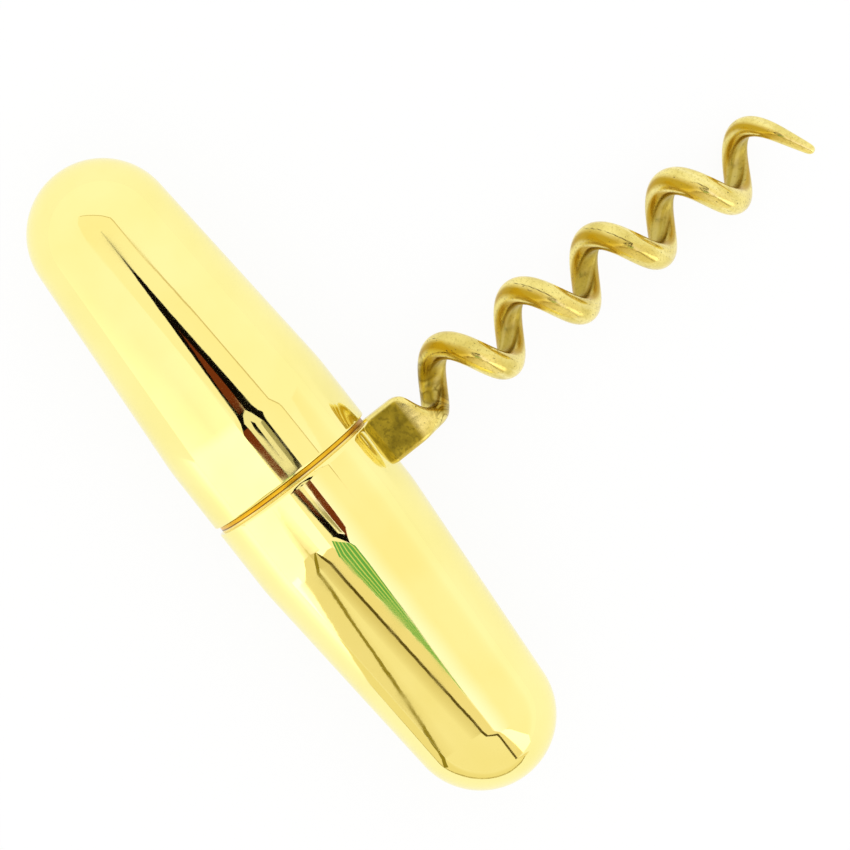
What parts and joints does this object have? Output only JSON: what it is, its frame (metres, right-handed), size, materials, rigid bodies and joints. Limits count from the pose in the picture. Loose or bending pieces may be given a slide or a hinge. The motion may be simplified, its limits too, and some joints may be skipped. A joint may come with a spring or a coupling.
{
  "type": "pocket corkscrew",
  "caption": "Pocket corkscrew: a capsule-shaped two-part cross handle with a pull-off cap half and a folding, right-hand wire worm clamped at the seam.",
  "frame": {"origin": "centre of the seam on the handle's axis", "axes": "+X along the handle to the end of the half that holds the worm, +Y along the worm to its point, +Z square to the flat of the tang"},
  "size_m": [0.09, 0.0835, 0.022],
  "materials": {
    "polished_gold": "mirror-polished gold plate on spun brass",
    "turned_brass": "turned brass, fine tool marks",
    "spring_bronze": "drawn spring bronze",
    "runner_steel": "bright drawn steel",
    "gilt_wire": "gold-plated forged steel wire, worn and slightly tarnished"
  },
  "bodies": {
    "holding_half": {"holding_shell": "polished_gold", "spigot_collar": "turned_brass", "grip_ring": "spring_bronze", "guide_tube": "turned_brass"},
    "cap_half": {"cap_shell": "polished_gold", "cap_liner": "turned_brass"},
    "runner": {"pivot_pin": "runner_steel", "shoe_front": "runner_steel", "shoe_rear": "runner_steel", "spacer_front": "turned_brass", "spacer_rear": "turned_brass"},
    "worm_wire": {"worm": "gilt_wire"}
  },
  "joints": [
    {"name": "cap_draw", "type": "slide", "parent": "holding_half", "child": "cap_half", "axis": [-1, 0, 0], "range_m": [0, 0.088]},
    {"name": "runner_slide", "type": "slide", "parent": "holding_half", "child": "runner", "axis": [1, 0, 0], "range_m": [0, 0.0015]},
    {"name": "worm_swing", "type": "hinge", "parent": "runner", "child": "worm_wire", "pos_m": [0.0033, 0, 0], "axis": [0, 0, 1], "range_deg": [0, 90]}
  ],
  "couplings": [
    {"joint": "worm_swing", "follows": "cap_draw", "rad_per_m": 17.84}
  ]
}
